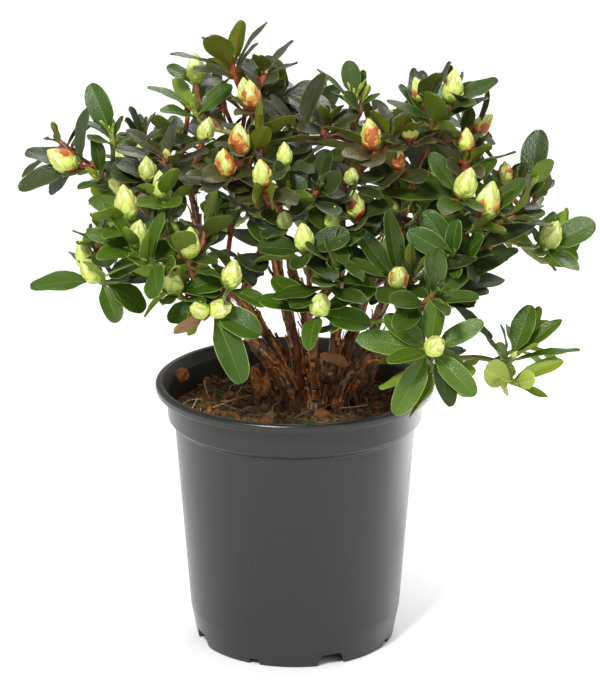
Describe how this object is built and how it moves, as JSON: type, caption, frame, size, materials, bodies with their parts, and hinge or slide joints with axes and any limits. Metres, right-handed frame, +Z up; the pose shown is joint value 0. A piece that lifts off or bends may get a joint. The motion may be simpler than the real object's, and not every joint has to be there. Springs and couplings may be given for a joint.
{
  "type": "potted azalea shrub",
  "caption": "Potted azalea shrub: woody stems rising from peat in a tapered plastic nursery pot, with whorls of green leaves round pale closed flower buds.",
  "frame": {"origin": "centre of the flat pad in the middle of the pot's underside, level with the foot that the pot stands on", "axes": "+Z up along the pot's axis; -Y towards the front that the picture shows; +X to the right as seen from that front"},
  "size_m": [0.3332, 0.2906, 0.3883],
  "materials": {
    "pot_plastic": "satin charcoal grey",
    "peat": "dark moist peat with bark chips",
    "bark": "flaky orange-brown bark",
    "foliage": "satin green leaves with pale yellow-green buds"
  },
  "bodies": {
    "root": {"pot": "pot_plastic", "peat": "peat", "trunk_root_crown": "bark", "stem_left_tip": "bark", "bough_left_low": "bark", "stem_left_front": "bark", "bough_upper_left": "bark", "stem_top": "bark", "bough_upper_front": "bark", "stem_top_middle": "bark", "stem_front": "bark", "stem_top_right": "bark", "bough_upper_right": "bark", "stem_right_front": "bark", "bough_right_edge": "bark", "stem_right_tip": "bark", "bough_right_foot": "bark", "stem_back_left": "bark", "stem_back_high": "bark", "bough_back_low": "bark", "stem_back_right": "bark", "bough_back_edge": "bark", "foliage_left_tip": "foliage", "foliage_left_low": "foliage", "foliage_left_front": "foliage", "foliage_upper_left": "foliage", "foliage_top": "foliage", "foliage_upper_front": "foliage", "foliage_top_middle": "foliage", "foliage_front": "foliage", "foliage_top_right": "foliage", "foliage_upper_right": "foliage", "foliage_right_front": "foliage", "foliage_right_edge": "foliage", "foliage_right_tip": "foliage", "foliage_right_foot": "foliage", "foliage_back_left": "foliage", "foliage_back_high": "foliage", "foliage_back_low": "foliage", "foliage_back_right": "foliage", "foliage_back_edge": "foliage"}
  },
  "joints": []
}
